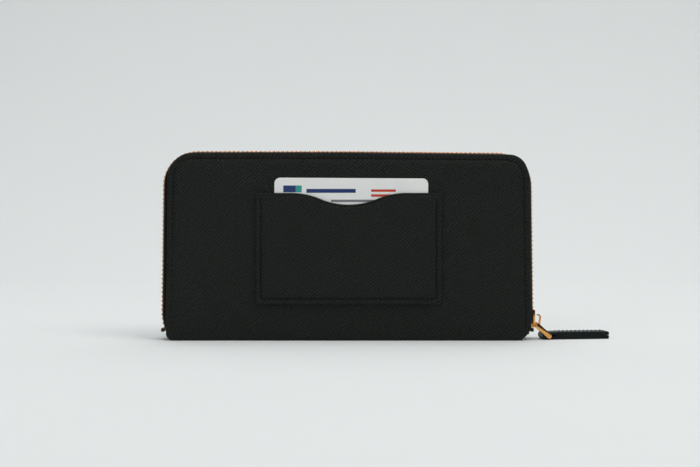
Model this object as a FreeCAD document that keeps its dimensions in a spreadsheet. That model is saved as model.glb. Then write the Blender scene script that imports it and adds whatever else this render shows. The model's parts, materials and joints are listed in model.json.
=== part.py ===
import FreeCAD, Part
import math
import os
import Sketcher

# Zip around wallet, standing on its spine. Millimetres. X runs along the wallet, Y through its
# thickness (the front cover faces -Y) and Z up. The origin is the middle of the spine's flat
# underside. The front half is described by depths measured from the middle plane, and the back
# half is the same with the sign of Y turned.

DIMENSIONS = [
    ("cover_foot_width", 204.5, "cover, across its lower edge"),
    ("cover_top_width", 201.5, "cover, across its upper edge"),
    ("cover_height", 105, "cover, from the ground to its top edge"),
    ("closed_depth", 23, "outer face to outer face of the two covers"),
    ("top_corner", 15, "radius of the covers' upper corners"),
    ("foot_corner_left", 4, "radius of the lower left corner"),
    ("foot_corner_right", 6.7, "radius of the lower right corner"),
    ("leather", 1.3, "outer leather"),
    ("stiffener", 0.8, "board inside each cover"),
    ("lining", 0.6, "lining leather"),
    ("inner_leather", 0.7, "card slots and coin pocket leather"),
    ("turned_edge", 5, "from the cover's edge to the board and the lining"),
    ("fold_gap", 0.05, "clearance between the spine and each cover's fold"),
    ("pocket_width", 103.8, "outer card pocket, across"),
    ("pocket_foot", 20.5, "outer card pocket, lower edge above the ground"),
    ("pocket_top", 82.5, "outer card pocket, upper edge above the ground"),
    ("pocket_leather", 1.0, "outer card pocket, leather"),
    ("pocket_room", 0.9, "outer card pocket, depth of the space for the card"),
    ("pocket_hem", 4, "outer card pocket, width of the stitched edge"),
    ("scoop_half_width", 29.1, "thumb scoop in the pocket's upper edge"),
    ("scoop_depth", 6.5, "thumb scoop, how far it dips"),
    ("card_width", 85.6, "standard card, long side"),
    ("card_height", 53.98, "standard card, short side"),
    ("card_thickness", 0.76, "standard card"),
    ("card_corner", 3.18, "standard card, corner radius"),
    ("card_shift", 1.3, "card, off the pocket's middle"),
    ("card_foot", 36.8, "card's lower edge above the ground"),
    ("card_turn", 0.3, "card, slight turn in its pocket, degrees"),
    ("zip_left_bulge", 2.8, "middle of the zip beyond the covers' left edge"),
    ("zip_right_bulge", 1.3, "middle of the zip beyond the covers' right edge"),
    ("zip_top_bulge", 0.2, "middle of the zip above the covers' top edge"),
    ("zip_corner", 21.5, "radius of the zip's middle round the upper corners"),
    ("zip_foot", 7, "lower ends of the zip's tapes"),
    ("tape", 0.6, "zip tape"),
    ("tape_flange", 0.5, "zip tape where it is sewn behind the cover"),
    ("tape_hold", 3.5, "how far the tape reaches behind the cover"),
    ("tooth_pitch", 2.5, "from tooth to tooth in one row"),
    ("tooth_width", 1.1, "tooth, along the zip"),
    ("tooth_height", 2.0, "tooth, outwards from the wallet"),
    ("tooth_root", 2.6, "tooth, from the middle plane back to the tape"),
    ("tooth_nose", 0.7, "tooth, from the middle plane into the other row"),
    ("slider_foot", 6.7, "lower end of the slider"),
    ("slider_length", 10.1, "slider, along the zip"),
    ("slider_width", 8.4, "slider, across the zip"),
    ("slider_plate", 0.6, "slider's two plates"),
    ("slider_room", 1.1, "from the zip's middle to a plate"),
    ("slider_lip", 0.8, "lips along the slider's sides"),
    ("slider_block", 0.55, "block on the outer plate that the bridge grows from"),
    ("slider_block_length", 3, "block, along the zip"),
    ("slider_block_width", 4.4, "block, across the zip"),
    ("wedge_width", 2.4, "wedge that parts the two rows"),
    ("wedge_length", 2.6, "wedge, along the zip"),
    ("tape_gap", 0.45, "from the zip's middle to a lip"),
    ("hook_width", 3, "bridge hook, across the zip"),
    ("hook_strip", 0.9, "bridge hook, strip thickness"),
    ("upper_bar_reach", 106.45, "pull link's upper bar, from the middle of the wallet"),
    ("upper_bar_height", 7.75, "pull link's upper bar, above the ground"),
    ("link_pitch", 8.39, "between the pull link's two bars"),
    ("link_droop", 42.3, "pull link, below the level, degrees"),
    ("link_bar", 1.1, "pull link's bars, diameter"),
    ("link_cheek", 2.7, "pull link's side strips, width"),
    ("link_strip", 1.0, "pull link's side strips, thickness"),
    ("link_side_gap", 0.95, "between the pull tab and each side strip"),
    ("tab_turn", 8, "pull tab, turned back from the wallet's length, degrees"),
    ("tab_length", 39.3, "pull tab"),
    ("tab_width", 10, "pull tab"),
    ("tab_thickness", 4.2, "pull tab, its two layers together"),
    ("tab_fold", 4.4, "pull tab, from the bar to its folded end"),
    ("tunnel_reach", 1.55, "pull tab, from the bar to each end of the fold's inside"),
    ("tunnel_height", 1.5, "pull tab, inside of the fold"),
    ("inner_foot", 6, "card slots' lower edge above the ground"),
    ("slot_step", 10, "from one card slot's top to the next"),
    ("slot_top", 84, "highest card slot's top"),
    ("slot_half_width", 94.5, "card slots, half their length"),
    ("coin_half_width", 95, "coin pocket, half its length"),
    ("coin_top", 80, "coin pocket panels' top"),
    ("coin_room", 1.1, "from the middle plane to a coin pocket panel"),
    ("coin_tape_rise", 1.4, "coin zip's tapes above the panels"),
    ("coin_slider_length", 8, "coin slider"),
    ("coin_slider_place", 86, "coin slider's middle, from the middle of the wallet"),
    ("coin_pull_length", 14, "coin slider's pull"),
    ("coin_pull_width", 3.6, "coin slider's pull"),
    ("coin_pull_strip", 0.8, "coin slider's pull"),
    ("coin_pull_lift", 0.35, "coin slider's pull above the slider's roof"),
    ("coin_window_length", 4.2, "window in the pull, from its end bar's middle"),
    ("coin_window_width", 2.1, "window in the pull"),
    ("gusset_sheet", 0.45, "gusset leather"),
    ("gusset_foot_depth", 5, "how far a gusset folds in at the spine"),
    ("gusset_top_depth", 29, "how far a gusset folds in at its top"),
]

os.makedirs("parts", exist_ok=True)
doc = FreeCAD.newDocument("zip_around_wallet")
sheet = doc.addObject("Spreadsheet::Sheet", "dims")


class Size:
    """A size that keeps its formula for the document and its number for the script."""

    def __init__(self, formula, number):
        self.formula = formula
        self.number = number

    def __add__(self, other):
        other = as_size(other)
        return Size(f"({self.formula} + {other.formula})", self.number + other.number)

    def __sub__(self, other):
        other = as_size(other)
        return Size(f"({self.formula} - {other.formula})", self.number - other.number)

    def __mul__(self, other):
        other = as_size(other)
        return Size(f"({self.formula} * {other.formula})", self.number * other.number)

    def __truediv__(self, other):
        other = as_size(other)
        return Size(f"({self.formula} / {other.formula})", self.number / other.number)

    def __neg__(self):
        return Size(f"(0 - {self.formula})", -self.number)


def as_size(value):
    """A plain number as a Size."""
    return value if isinstance(value, Size) else Size(repr(value), value)


def fill_sheet():
    """Write the driving dimensions and return them as Sizes by name."""
    sizes = {}
    for row, (name, number, note) in enumerate(DIMENSIONS, start=1):
        sheet.set(f"A{row}", name)
        sheet.set(f"B{row}", str(number))
        sheet.set(f"C{row}", note)
        sheet.setAlias(f"B{row}", name)
        sizes[name] = Size(f"dims.{name}", number)
    doc.recompute()
    return sizes


D = fill_sheet()
ZERO = Size("0", 0)
NODES = []


def bind(thing, name, size):
    """Bind one property of a document object to a formula of the sheet's cells."""
    thing.setExpression(name, as_size(size).formula)


def keep(thing, label):
    """Name a finished sub-part and put it on the list of parts to write."""
    thing.Label = label
    NODES.append(thing)
    return thing


# ---------------------------------------------------------------- sketches and bodies


def new_sketch(body, name, plane_role, offset):
    """A sketch on one of the body's own origin planes, moved along the plane's normal."""
    plane = next(item for item in body.Origin.OriginFeatures if item.Role == plane_role)
    sketch = body.newObject("Sketcher::SketchObject", name)
    sketch.AttachmentSupport = (plane, [""])
    sketch.MapMode = "FlatFace"
    bind(sketch, "AttachmentOffset.Base.z", offset)
    return sketch


def hold_point(sketch, geometry, end, across, up):
    """Hold one end of a line or arc at a place given by two Sizes."""
    for kind, size in (("DistanceX", across), ("DistanceY", up)):
        index = sketch.addConstraint(Sketcher.Constraint(kind, -1, 1, geometry, end, size.number))
        bind(sketch, f"Constraints[{index}]", size)


def hold_radius(sketch, geometry, radius):
    """Hold the radius of an arc."""
    index = sketch.addConstraint(Sketcher.Constraint("Radius", geometry, radius.number))
    bind(sketch, f"Constraints[{index}]", radius)


def vector_to(corner, towards, distance):
    """The point at a distance from a corner, on the way to another point."""
    step = (towards - corner).normalize() * distance
    return corner + step


def rounded_outline(sketch, corners, radii):
    """Draw a closed outline, anticlockwise, through corners, each with its own radius or None."""
    count = len(corners)
    points = [FreeCAD.Vector(across.number, up.number, 0) for across, up in corners]
    frame = []
    for index in range(count):
        line = Part.LineSegment(points[index], points[(index + 1) % count])
        frame.append(sketch.addGeometry(line, True))
    for index in range(count):
        sketch.addConstraint(Sketcher.Constraint("Coincident", frame[index - 1], 2, frame[index], 1))
        hold_point(sketch, frame[index], 1, *corners[index])
    starts, ends, arcs = [], [], []
    for index in range(count):
        before, corner, after = points[index - 1], points[index], points[(index + 1) % count]
        radius = radii[index]
        if radius is None:
            starts.append(corner)
            ends.append(corner)
            arcs.append(None)
            continue
        turn = (corner - before).getAngle(after - corner)
        cut = radius.number * math.tan(turn / 2)
        first, last = vector_to(corner, before, cut), vector_to(corner, after, cut)
        middle = (first + last) * 0.5
        centre = vector_to(corner, middle, radius.number / math.cos(turn / 2))
        ends.append(first)
        starts.append(last)
        arcs.append((centre, first, last))
    lines = []
    for index in range(count):
        line = Part.LineSegment(starts[index], ends[(index + 1) % count])
        lines.append(sketch.addGeometry(line, False))
        for end in (1, 2):
            sketch.addConstraint(
                Sketcher.Constraint("PointOnObject", lines[index], end, frame[index])
            )
    for index in range(count):
        previous = lines[index - 1]
        if arcs[index] is None:
            sketch.addConstraint(Sketcher.Constraint("Coincident", previous, 2, lines[index], 1))
            continue
        centre, first, last = arcs[index]
        circle = Part.Circle(centre, FreeCAD.Vector(0, 0, 1), radii[index].number)
        arc = sketch.addGeometry(
            Part.ArcOfCircle(circle, circle.parameter(first), circle.parameter(last)), False
        )
        sketch.addConstraint(Sketcher.Constraint("Tangent", previous, 2, arc, 1))
        sketch.addConstraint(Sketcher.Constraint("Tangent", arc, 2, lines[index], 1))
        hold_radius(sketch, arc, radii[index])


def pad(body, sketch, length, towards_back=False):
    """Pad a front-view sketch towards the front, or towards the back."""
    feature = body.newObject("PartDesign::Pad", "pad")
    feature.Profile = sketch
    bind(feature, "Length", length)
    feature.Reversed = towards_back
    return feature


def pocket(body, sketch, length, towards_back=False):
    """Cut a front-view sketch out of the body, towards the front or towards the back."""
    doc.recompute()
    before = body.Shape.Volume
    feature = body.newObject("PartDesign::Pocket", "pocket")
    feature.Profile = sketch
    bind(feature, "Length", length)
    feature.Reversed = not towards_back
    doc.recompute()
    if not body.Shape.Volume < before:
        raise ValueError(f"{body.Label}: {feature.Label} cuts nothing")
    return feature


def new_body(name):
    """A body for one sub-part."""
    return doc.addObject("PartDesign::Body", name)


def front_view_sketch(body, name, plane_y):
    """A sketch seen from the front, at a place along Y."""
    return new_sketch(body, name, "XZ_Plane", -plane_y)


# ---------------------------------------------------------------- outlines shared by the covers


def leaned_outline(sides, top, foot, corner, foot_corners=(None, None)):
    """Corners and radii of the covers' outline, moved out at both sides and the top."""
    lean = (D["cover_foot_width"] - D["cover_top_width"]) / 2
    left = -(D["cover_foot_width"] / 2 + sides[0])
    right = D["cover_foot_width"] / 2 + sides[1]
    crown = D["cover_height"] + top
    corners = [(left, foot), (right, foot), (right - lean, crown), (left + lean, crown)]
    radii = [foot_corners[0], foot_corners[1], corner, corner]
    return corners, radii


def box_outline(left, right, low, high):
    """The four corners of an upright rectangle, anticlockwise."""
    return [(left, low), (right, low), (right, high), (left, high)]


def plate(label, outline, radii, near_y, depth, towards_back):
    """A flat sheet with a front-view outline, from near_y outwards by its thickness."""
    body = new_body(label)
    sketch = front_view_sketch(body, "outline", near_y)
    rounded_outline(sketch, outline, radii)
    pad(body, sketch, depth, towards_back)
    return keep(body, label)


def half(side):
    """The sign of Y for a half of the wallet, and whether its sheets pad towards the back."""
    return (-1, False) if side == "front" else (1, True)


def layer_depth(*layers):
    """Distance from the middle plane to the face under the given layers of a cover."""
    depth = D["closed_depth"] / 2
    for layer in layers:
        depth = depth - layer
    return depth


# ---------------------------------------------------------------- covers


def cover(side):
    """The outer leather of one half, with its lower edge rounded about the hinge line."""
    sign, back = half(side)
    label = f"{side}_cover"
    body = new_body(label)
    sketch = front_view_sketch(body, "outline", layer_depth(D["leather"]) * sign)
    foot_corners = (D["foot_corner_left"], D["foot_corner_right"])
    outline, radii = leaned_outline((ZERO, ZERO), ZERO, ZERO, D["top_corner"], foot_corners)
    rounded_outline(sketch, outline, radii)
    sheet_pad = pad(body, sketch, D["leather"], back)
    doc.recompute()
    rims = []
    for index, edge in enumerate(sheet_pad.Shape.Edges, start=1):
        flat = edge.BoundBox.ZMax < 0.01 and edge.BoundBox.XLength > D["cover_height"].number
        if flat:
            rims.append(f"Edge{index}")
    rim = body.newObject("PartDesign::Fillet", "rounded_rim")
    rim.Base = (sheet_pad, rims)
    bind(rim, "Radius", D["leather"] * 0.49)
    return keep(body, label)


def board(side):
    """The stiff board between a cover's leather and its lining."""
    sign, back = half(side)
    inset = -D["turned_edge"]
    corner = D["top_corner"] + inset
    outline, radii = leaned_outline((inset, inset), inset, D["turned_edge"], corner)
    near = layer_depth(D["leather"], D["stiffener"]) * sign
    return plate(f"{side}_stiffener", outline, radii, near, D["stiffener"], back)


def cover_lining(side):
    """The lining over the board."""
    sign, back = half(side)
    inset = -D["turned_edge"]
    corner = D["top_corner"] + inset
    outline, radii = leaned_outline((inset, inset), inset, D["turned_edge"], corner)
    near = layer_depth(D["leather"], D["stiffener"], D["lining"]) * sign
    return plate(f"{side}_lining", outline, radii, near, D["lining"], back)


def card_slot(side, number):
    """One stepped card slot panel: each panel nearer the middle has a lower top."""
    sign, back = half(side)
    shells = D["leather"] + D["stiffener"] + D["lining"]
    near = layer_depth(shells, D["inner_leather"] * number) * sign
    top = D["slot_top"] - D["slot_step"] * (number - 1)
    outline = box_outline(-D["slot_half_width"], D["slot_half_width"], D["inner_foot"], top)
    radii = [None, None, D["foot_corner_left"], D["foot_corner_left"]]
    label = f"card_slot_{side}_{number}"
    return plate(label, outline, radii, near, D["inner_leather"], back)


def spine():
    """The strip that the wallet stands on, between the folds of the two covers."""
    half_depth = D["closed_depth"] / 2 - D["leather"] - D["fold_gap"]
    strip = doc.addObject("Part::Box", "spine")
    bind(strip, "Length", D["cover_foot_width"] - D["turned_edge"] * 2)
    bind(strip, "Width", half_depth * 2)
    bind(strip, "Height", D["leather"])
    bind(strip, "Placement.Base.x", D["turned_edge"] - D["cover_foot_width"] / 2)
    bind(strip, "Placement.Base.y", -half_depth)
    return keep(strip, "spine")


def spine_lining():
    """The lining over the spine."""
    half_depth = layer_depth(D["leather"], D["stiffener"], D["lining"]) - D["inner_leather"]
    strip = doc.addObject("Part::Box", "spine_lining")
    bind(strip, "Length", D["slot_half_width"] * 2)
    bind(strip, "Width", half_depth * 2)
    bind(strip, "Height", D["lining"])
    bind(strip, "Placement.Base.x", -D["slot_half_width"])
    bind(strip, "Placement.Base.y", -half_depth)
    bind(strip, "Placement.Base.z", D["leather"])
    return keep(strip, "spine_lining")


# ---------------------------------------------------------------- outer pocket and card


def scoop_outline(sketch, top):
    """The thumb scoop: a dip of three equal arcs, closed above the pocket's edge."""
    width, depth = D["scoop_half_width"], D["scoop_depth"]
    radius = (width * width + depth * depth) / (depth * 4)
    middle = top - depth / 2
    above = top + depth
    low = top - depth
    places = [(-width, top), (-width / 2, middle), (width / 2, middle), (width, top)]
    centres = [(-width, top - radius), (ZERO, low + radius), (width, top - radius)]
    normal = FreeCAD.Vector(0, 0, 1)
    last = None
    for index, (across, up) in enumerate(centres):
        centre = FreeCAD.Vector(across.number, up.number, 0)
        circle = Part.Circle(centre, normal, radius.number)
        first = FreeCAD.Vector(places[index][0].number, places[index][1].number, 0)
        second = FreeCAD.Vector(places[index + 1][0].number, places[index + 1][1].number, 0)
        hollow = index == 1
        span = (first, second) if hollow else (second, first)
        arc = Part.ArcOfCircle(circle, circle.parameter(span[0]), circle.parameter(span[1]))
        geometry = sketch.addGeometry(arc, False)
        entry, leave = (1, 2) if hollow else (2, 1)
        if last is None:
            hold_point(sketch, geometry, entry, *places[0])
            start = (geometry, entry)
        else:
            sketch.addConstraint(Sketcher.Constraint("Coincident", *last, geometry, entry))
        hold_point(sketch, geometry, leave, *places[index + 1])
        hold_radius(sketch, geometry, radius)
        last = (geometry, leave)
    for across in (width, -width):
        corner = FreeCAD.Vector(across.number, above.number, 0)
        begin = sketch.getPoint(*last)
        line = sketch.addGeometry(Part.LineSegment(begin, corner), False)
        sketch.addConstraint(Sketcher.Constraint("Coincident", *last, line, 1))
        hold_point(sketch, line, 2, across, above)
        last = (line, 2)
    line = sketch.addGeometry(Part.LineSegment(sketch.getPoint(*last), sketch.getPoint(*start)), False)
    sketch.addConstraint(Sketcher.Constraint("Coincident", *last, line, 1))
    sketch.addConstraint(Sketcher.Constraint("Coincident", line, 2, *start))


def outer_card_pocket():
    """The pocket sewn on the front cover, open at the top, with a thumb scoop."""
    half_width = D["pocket_width"] / 2
    face = -(D["closed_depth"] / 2)
    label = "outer_card_pocket"
    body = new_body(label)
    sketch = front_view_sketch(body, "outline", face)
    outline = box_outline(-half_width, half_width, D["pocket_foot"], D["pocket_top"])
    rounded_outline(sketch, outline, [D["leather"], D["leather"], None, None])
    pad(body, sketch, D["pocket_leather"] + D["pocket_room"])
    room = front_view_sketch(body, "room", face)
    inner = half_width - D["pocket_hem"]
    foot = D["pocket_foot"] + D["pocket_hem"]
    above = D["pocket_top"] + D["pocket_hem"]
    rounded_outline(room, box_outline(-inner, inner, foot, above), [None] * 4)
    pocket(body, room, D["pocket_room"])
    scoop = front_view_sketch(body, "scoop", face)
    scoop_outline(scoop, D["pocket_top"])
    pocket(body, scoop, (D["pocket_leather"] + D["pocket_room"]) * 2)
    return keep(body, label)


def id_card():
    """The plastic card, in the middle of the pocket's room and slightly turned."""
    half_width = D["card_width"] / 2
    half_height = D["card_height"] / 2
    outline = box_outline(-half_width, half_width, -half_height, half_height)
    body = new_body("id_card")
    sketch = front_view_sketch(body, "outline", ZERO)
    rounded_outline(sketch, outline, [D["card_corner"]] * 4)
    pad(body, sketch, D["card_thickness"])
    play = (D["pocket_room"] - D["card_thickness"]) / 2
    bind(body, "Placement.Base.x", D["card_shift"])
    bind(body, "Placement.Base.y", -(D["closed_depth"] / 2 + play))
    bind(body, "Placement.Base.z", D["card_foot"] + half_height)
    body.Placement.Rotation = FreeCAD.Rotation(FreeCAD.Vector(0, 1, 0), D["card_turn"].number)
    return keep(body, "id_card")


# ---------------------------------------------------------------- zip round the covers


def zip_tape(side):
    """A tape: a band over the wallet's edge with a flange sewn behind the cover's leather."""
    sign, back = half(side)
    label = f"zip_tape_{side}"
    body = new_body(label)
    inner_y = D["tooth_root"] + 0.1
    band = layer_depth(D["leather"]) - inner_y
    half_tape = D["tape"] / 2
    rings = [
        ("band", half_tape, D["zip_foot"], band),
        ("band_room", -half_tape, ZERO, band - D["tape_flange"]),
    ]
    for name, step, foot, depth in rings:
        sketch = front_view_sketch(body, name, inner_y * sign)
        corner = D["zip_corner"] + step
        sides = (D["zip_left_bulge"] + step, D["zip_right_bulge"] + step)
        outline, radii = leaned_outline(sides, D["zip_top_bulge"] + step, foot, corner)
        rounded_outline(sketch, outline, radii)
        if name == "band":
            pad(body, sketch, depth, back)
        else:
            pocket(body, sketch, depth, back)
    hold = -D["tape_hold"]
    sketch = front_view_sketch(body, "flange_room", inner_y * sign)
    outline, radii = leaned_outline((hold, hold), hold, ZERO, D["top_corner"])
    rounded_outline(sketch, outline, radii)
    pocket(body, sketch, band * 2, back)
    return keep(body, label)


def zip_path():
    """The zip's middle line, from the left foot over the top to the right foot, as edges."""
    sides = (D["zip_left_bulge"], D["zip_right_bulge"])
    outline = leaned_outline(sides, D["zip_top_bulge"], ZERO, None)[0]
    foot_left, foot_right, top_right, top_left = [
        FreeCAD.Vector(across.number, 0, up.number) for across, up in outline
    ]
    radius = D["zip_corner"].number
    turn = (top_left - foot_left).getAngle(top_right - top_left)
    cut = radius * math.tan(turn / 2)
    to_middle = radius / math.cos(turn / 2) - radius

    def corner(point, before, after):
        first, last = vector_to(point, before, cut), vector_to(point, after, cut)
        return first, vector_to(point, (first + last) * 0.5, to_middle), last

    left = corner(top_left, foot_left, top_right)
    right = corner(top_right, top_left, foot_right)
    return [
        Part.LineSegment(foot_left, left[0]).toShape(),
        Part.Arc(*left).toShape(),
        Part.LineSegment(left[2], right[0]).toShape(),
        Part.Arc(*right).toShape(),
        Part.LineSegment(right[2], foot_right).toShape(),
    ]


def along(edges, distance):
    """The point and the direction at a distance along a chain of edges."""
    for edge in edges:
        if distance <= edge.Length or edge is edges[-1]:
            place = edge.getParameterByLength(min(distance, edge.Length))
            tangent = edge.tangentAt(place)
            point = edge.valueAt(place)
            if edge.Orientation == "Reversed":
                tangent = -tangent
            return point, tangent
        distance -= edge.Length
    raise ValueError("no edges")


def tooth_row(label, edges, start, end, sign, shift):
    """A row of teeth along a path, each a block that reaches a little past the middle plane."""
    width = D["tooth_width"].number
    rise = D["tooth_height"].number
    root = D["tooth_root"].number
    reach = root + D["tooth_nose"].number
    pitch = D["tooth_pitch"].number
    teeth = []
    count = int((end - start - shift - width) // pitch) + 1
    for number in range(count):
        point, tangent = along(edges, start + shift + number * pitch)
        outward = tangent.cross(FreeCAD.Vector(0, 1, 0))
        turn = FreeCAD.Rotation(tangent, FreeCAD.Vector(0, 1, 0), -outward, "XYZ")
        low_y = -root if sign < 0 else root - reach
        block = Part.makeBox(width, reach, rise, FreeCAD.Vector(-width / 2, low_y, -rise / 2))
        block.Placement = FreeCAD.Placement(point, turn).multiply(block.Placement)
        teeth.append(block)
    feature = doc.addObject("Part::Feature", label)
    feature.Shape = Part.makeCompound(teeth)
    feature.Placement = FreeCAD.Placement()
    return keep(feature, label)


def zip_teeth():
    """Both rows, in mesh, ending inside the slider at the right foot."""
    edges = zip_path()
    whole = sum(edge.Length for edge in edges)
    start = D["zip_foot"].number
    end = whole - D["slider_foot"].number - D["slider_length"].number * 0.45
    tooth_row("zip_teeth_front", edges, start, end, -1, 0)
    tooth_row("zip_teeth_back", edges, start, end, 1, D["tooth_pitch"].number / 2)


def block(name, low, high):
    """A box between two corners given by Sizes."""
    box = doc.addObject("Part::Box", name)
    for length, axis, first, last in zip(("Length", "Width", "Height"), "xyz", low, high):
        bind(box, length, as_size(last) - first)
        bind(box, f"Placement.Base.{axis}", first)
    return box


def fuse(name, shapes, label):
    """Join primitives into one sub-part."""
    joined = doc.addObject("Part::MultiFuse", name)
    joined.Shapes = shapes
    joined.Refine = True
    return keep(joined, label)


def zip_stops():
    """The metal stop at each lower end of the zip."""
    left = -(D["cover_foot_width"] / 2 + D["zip_left_bulge"])
    right = D["cover_foot_width"] / 2 + D["zip_right_bulge"]
    wide = D["tooth_root"] - 0.2
    low = D["zip_foot"] - 2.8
    high = D["zip_foot"] - 0.8
    rise = D["tooth_height"] / 2
    stops = [
        block("stop", (left - rise, -wide, low), (left + rise, wide, high)),
        block("stop", (right - rise, -wide, low), (right + rise, wide, high)),
    ]
    pair = doc.addObject("Part::Compound", "zip_stops")
    pair.Links = stops
    return keep(pair, "zip_stops")


# ---------------------------------------------------------------- slider, bridge, link and tab


def slider_placement():
    """From the slider's own frame (X outwards, Z along the zip) to its place at the right foot."""
    lean = math.degrees(
        math.atan2((D["cover_foot_width"] - D["cover_top_width"]).number / 2, D["cover_height"].number)
    )
    foot = D["slider_foot"].number
    middle = D["cover_foot_width"].number / 2 + D["zip_right_bulge"].number
    x = middle - foot * math.tan(math.radians(lean))
    return FreeCAD.Placement(
        FreeCAD.Vector(x, 0, foot), FreeCAD.Rotation(FreeCAD.Vector(0, 1, 0), -lean)
    )


def slider_body():
    """Two plates joined by a wedge at the open end, with lips that leave a slit for the tapes."""
    room, sheet_size = D["slider_room"], D["slider_plate"]
    wide, long = D["slider_width"] / 2, D["slider_length"]
    lip, gap = D["slider_lip"], D["tape_gap"]
    wedge_wide, wedge_long = D["wedge_width"] / 2, D["wedge_length"]
    block_wide = D["slider_block_width"] / 2
    plate_face = room + sheet_size
    block_face = plate_face + D["slider_block"]
    shapes = [
        block("outer_plate", (room, -wide, 0), (room + sheet_size, wide, long)),
        block("inner_plate", (-room - sheet_size, -wide, 0), (-room, wide, long)),
        block("wedge", (-room, -wedge_wide, 0), (room, wedge_wide, wedge_long)),
        block("block", (plate_face, -block_wide, 0), (block_face, block_wide, D["slider_block_length"])),
    ]
    for low_y, high_y in ((-wide, lip - wide), (wide - lip, wide)):
        shapes.append(block("outer_lip", (gap, low_y, 0), (room, high_y, long)))
        shapes.append(block("inner_lip", (-room, low_y, 0), (-gap, high_y, long)))
    body = fuse("slider_body", shapes, "slider_body")
    body.Placement = slider_placement()
    return body


def slider_bridge():
    """The open hook on the slider's outer plate, a flat strip that curls back towards it."""
    outer = (D["slider_room"] + D["slider_plate"] + D["slider_block"]).number
    strip = D["hook_strip"].number
    width = D["hook_width"].number
    root = FreeCAD.Vector(outer + 0.02, 0, 0.05)
    knee = FreeCAD.Vector(outer + 0.95, 0, -0.15)
    bend = FreeCAD.Vector(outer + 1.8, 0, 0.4)
    elbow = FreeCAD.Vector(outer + 2.15, 0, 1.4)
    shoulder = FreeCAD.Vector(outer + 2.6, 0, 5.0)
    crown = FreeCAD.Vector(outer + 2.35, 0, 6.3)
    tip = FreeCAD.Vector(outer + 1.2, 0, 6.9)
    pieces = [
        Part.Arc(root, knee, bend),
        Part.LineSegment(bend, elbow),
        Part.LineSegment(elbow, shoulder),
        Part.Arc(shoulder, crown, tip),
    ]
    path = Part.Wire([piece.toShape() for piece in pieces])
    face = path.makeOffset2D(strip / 2, fill=True)
    solid = face.extrude(FreeCAD.Vector(0, width, 0))
    solid.translate(FreeCAD.Vector(0, -width / 2, 0))
    beyond = Part.makeBox(2 * outer, 2 * width, 4 * outer, FreeCAD.Vector(-outer, -width, -2 * outer))
    feature = doc.addObject("Part::Feature", "slider_bridge")
    feature.Shape = solid.cut(beyond)
    feature.Placement = slider_placement()
    return keep(feature, "slider_bridge")


def link_placement():
    """From a frame with X along the pull link to its place, drooping from the upper bar."""
    place = FreeCAD.Vector(D["upper_bar_reach"].number, 0, D["upper_bar_height"].number)
    return FreeCAD.Placement(
        place, FreeCAD.Rotation(FreeCAD.Vector(0, 1, 0), D["link_droop"].number)
    )


def pull_link():
    """Two flat side strips with round ends, joined by two round bars."""
    inner = D["tab_width"] / 2 + D["link_side_gap"]
    outer = inner + D["link_strip"]
    cheek = D["link_cheek"] / 2
    shapes = []
    for low_y, high_y in ((-outer, -inner), (inner, outer)):
        shapes.append(block("strip", (ZERO, low_y, -cheek), (D["link_pitch"], high_y, cheek)))
        for reach in (ZERO, D["link_pitch"]):
            shapes.append(bar("strip_end", reach, low_y, high_y, cheek))
    for reach in (ZERO, D["link_pitch"]):
        shapes.append(bar("bar", reach, -outer, outer, D["link_bar"] / 2))
    link = fuse("pull_link", shapes, "pull_link")
    link.Placement = link_placement()
    return link


def bar(name, reach, low_y, high_y, radius):
    """A round bar along Y at a place along X."""
    cylinder = doc.addObject("Part::Cylinder", name)
    bind(cylinder, "Radius", radius)
    bind(cylinder, "Height", high_y - low_y)
    cylinder.Placement.Rotation = FreeCAD.Rotation(FreeCAD.Vector(1, 0, 0), -90)
    bind(cylinder, "Placement.Base.x", reach)
    bind(cylinder, "Placement.Base.y", low_y)
    return cylinder


def pull_tab():
    """The folded leather tab: two layers lying flat, open as a tunnel at the folded end."""
    label = "pull_tab"
    body = new_body(label)
    half_width = D["tab_width"] / 2
    bar_height = D["tab_thickness"] / 2
    sketch = front_view_sketch(body, "profile", half_width)
    left = -D["tab_fold"]
    right = left + D["tab_length"]
    fold = bar_height * 0.98
    end = bar_height * 0.4
    outline = box_outline(left, right, -bar_height, bar_height)
    rounded_outline(sketch, outline, [fold, end, end, fold])
    pad(body, sketch, D["tab_width"])
    tunnel = front_view_sketch(body, "tunnel", half_width)
    high = D["tunnel_height"] / 2
    round_end = high * 0.9
    tunnel_outline = box_outline(-D["tunnel_reach"], D["tunnel_reach"], -high, high)
    rounded_outline(tunnel, tunnel_outline, [round_end] * 4)
    pocket(body, tunnel, D["tab_width"] * 2)
    lower_bar = link_placement().multVec(FreeCAD.Vector(D["link_pitch"].number, 0, 0))
    turn = FreeCAD.Rotation(FreeCAD.Vector(0, 0, 1), D["tab_turn"].number)
    body.Placement = FreeCAD.Placement(lower_bar, turn)
    bind(body, "Placement.Base.z", bar_height)
    return keep(body, label)


# ---------------------------------------------------------------- inside: coin pocket and gussets


def coin_panel(side):
    """One side of the coin pocket, standing on the spine's lining."""
    sign, back = half(side)
    foot = D["leather"] + D["lining"]
    outline = box_outline(-D["coin_half_width"], D["coin_half_width"], foot, D["coin_top"])
    near = D["coin_room"] * sign
    label = f"coin_pocket_{side}_panel"
    return plate(label, outline, [None] * 4, near, D["inner_leather"], back)


def coin_tape(side):
    """A tape of the coin pocket's zip, inside a panel's top edge."""
    sign, back = half(side)
    inset = 3
    half_width = D["coin_half_width"] - inset
    low = D["coin_top"] - inset * 2
    outline = box_outline(-half_width, half_width, low, D["coin_top"] + D["coin_tape_rise"])
    near = (D["coin_room"] - D["tape_flange"]) * sign
    label = f"coin_tape_{side}"
    return plate(label, outline, [None] * 4, near, D["tape_flange"], back)


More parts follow.
